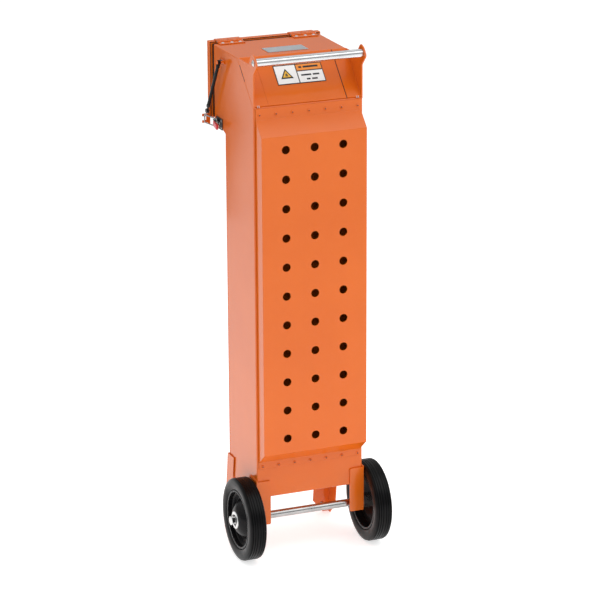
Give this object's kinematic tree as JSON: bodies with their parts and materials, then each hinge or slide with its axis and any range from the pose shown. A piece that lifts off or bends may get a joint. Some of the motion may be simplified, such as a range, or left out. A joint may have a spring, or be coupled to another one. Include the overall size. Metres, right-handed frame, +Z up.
{
  "type": "wheeled hot oil transfer tank",
  "caption": "Upright sheet-metal hot oil transfer tank on wheels and feet, with a push bar, a perforated heat guard and a latched rear lid on hinges with a gas strut.",
  "frame": {"origin": "on the floor, under the middle of the outline's width and depth", "axes": "+Z up, +Y from the user's side with the bar and the guard to the lid at the back, +X to the right of a user who stands in front and looks at the guard"},
  "size_m": [0.3984, 0.371, 1.2392],
  "materials": {
    "orange_paint": "glossy orange powder coat on sheet steel",
    "chrome": "polished chrome",
    "zinc_plate": "bright zinc plate",
    "dark_steel": "dark phosphated steel",
    "aluminium_plate": "satin anodised plate",
    "label_film": "printed adhesive film",
    "black_rubber": "solid black rubber",
    "red_vinyl": "dipped red vinyl",
    "gasket_rubber": "matt heat-resistant rubber",
    "black_enamel": "gloss black enamel"
  },
  "bodies": {
    "tank": {"tank_shell": "orange_paint", "cheek_left": "orange_paint", "cheek_right": "orange_paint", "slope_sheet": "orange_paint", "heat_guard": "orange_paint", "handle_bar": "chrome", "handle_bolt_left": "chrome", "handle_bolt_right": "chrome", "caution_label": "label_film", "nameplate": "aluminium_plate", "hinge_left_fixed_leaf": "orange_paint", "hinge_right_fixed_leaf": "orange_paint", "hinge_left_pin": "zinc_plate", "hinge_right_pin": "zinc_plate", "strut_upper_bracket": "orange_paint", "latch_left_base": "dark_steel", "latch_right_base": "dark_steel", "latch_left_pin": "zinc_plate", "latch_right_pin": "zinc_plate", "wheel_bracket_left": "orange_paint", "wheel_bracket_right": "orange_paint", "rear_foot_left": "orange_paint", "rear_foot_right": "orange_paint", "axle": "zinc_plate", "axle_cap_left": "zinc_plate", "axle_cap_right": "zinc_plate"},
    "lid": {"lid_pan": "orange_paint", "lid_liner": "orange_paint", "lid_gasket": "gasket_rubber", "hinge_left_lid_leaf": "orange_paint", "hinge_right_lid_leaf": "orange_paint", "strut_lower_bracket": "orange_paint", "latch_left_keeper": "orange_paint", "latch_right_keeper": "orange_paint"},
    "strut_tube": {"strut_tube": "black_enamel"},
    "strut_rod": {"strut_rod": "dark_steel"},
    "latch_left_lever": {"latch_left_lever": "zinc_plate", "latch_left_grip": "red_vinyl"},
    "latch_left_bail": {"latch_left_bail": "zinc_plate"},
    "latch_right_lever": {"latch_right_lever": "zinc_plate", "latch_right_grip": "red_vinyl"},
    "latch_right_bail": {"latch_right_bail": "zinc_plate"},
    "wheel_left": {"wheel_left_tyre": "black_rubber", "wheel_left_rim": "black_enamel", "wheel_left_hub": "zinc_plate"},
    "wheel_right": {"wheel_right_tyre": "black_rubber", "wheel_right_rim": "black_enamel", "wheel_right_hub": "zinc_plate"}
  },
  "joints": [
    {"name": "lid_hinge", "type": "hinge", "parent": "tank", "child": "lid", "pos_m": [0, 0.161, 1.2132], "axis": [1, 0, 0], "range_deg": [0, 90]},
    {"name": "strut_swing", "type": "hinge", "parent": "tank", "child": "strut_tube", "pos_m": [-0.15, 0.0835, 1.183], "axis": [1, 0, 0], "range_deg": [0, 66.8]},
    {"name": "strut_stroke", "type": "slide", "parent": "strut_tube", "child": "strut_rod", "axis": [0, 0.53, -0.848], "range_m": [0, 0.0863]},
    {"name": "latch_left_lever_hinge", "type": "hinge", "parent": "tank", "child": "latch_left_lever", "pos_m": [-0.143, 0.1325, 1.027], "axis": [0, 0, -1], "range_deg": [0, 110]},
    {"name": "latch_left_bail_hinge", "type": "hinge", "parent": "latch_left_lever", "child": "latch_left_bail", "pos_m": [-0.143, 0.1225, 1.027], "axis": [0, 0, 1], "range_deg": [0, 143.1]},
    {"name": "latch_right_lever_hinge", "type": "hinge", "parent": "tank", "child": "latch_right_lever", "pos_m": [0.143, 0.1325, 1.027], "axis": [0, 0, 1], "range_deg": [0, 110]},
    {"name": "latch_right_bail_hinge", "type": "hinge", "parent": "latch_right_lever", "child": "latch_right_bail", "pos_m": [0.143, 0.1225, 1.027], "axis": [0, 0, -1], "range_deg": [0, 143.1]},
    {"name": "wheel_left_spin", "type": "hinge", "parent": "tank", "child": "wheel_left", "pos_m": [-0.1623, -0.0855, 0.1], "axis": [1, 0, 0], "continuous": true},
    {"name": "wheel_right_spin", "type": "hinge", "parent": "tank", "child": "wheel_right", "pos_m": [0.1623, -0.0855, 0.1], "axis": [1, 0, 0], "continuous": true}
  ],
  "couplings": [
    {"joint": "strut_swing", "follows": "lid_hinge", "ratio": 0.7421},
    {"joint": "strut_stroke", "follows": "lid_hinge", "m_per_rad": 0.05489},
    {"joint": "latch_left_bail_hinge", "follows": "latch_left_lever_hinge", "ratio": 1.3},
    {"joint": "latch_right_bail_hinge", "follows": "latch_right_lever_hinge", "ratio": 1.3}
  ]
}
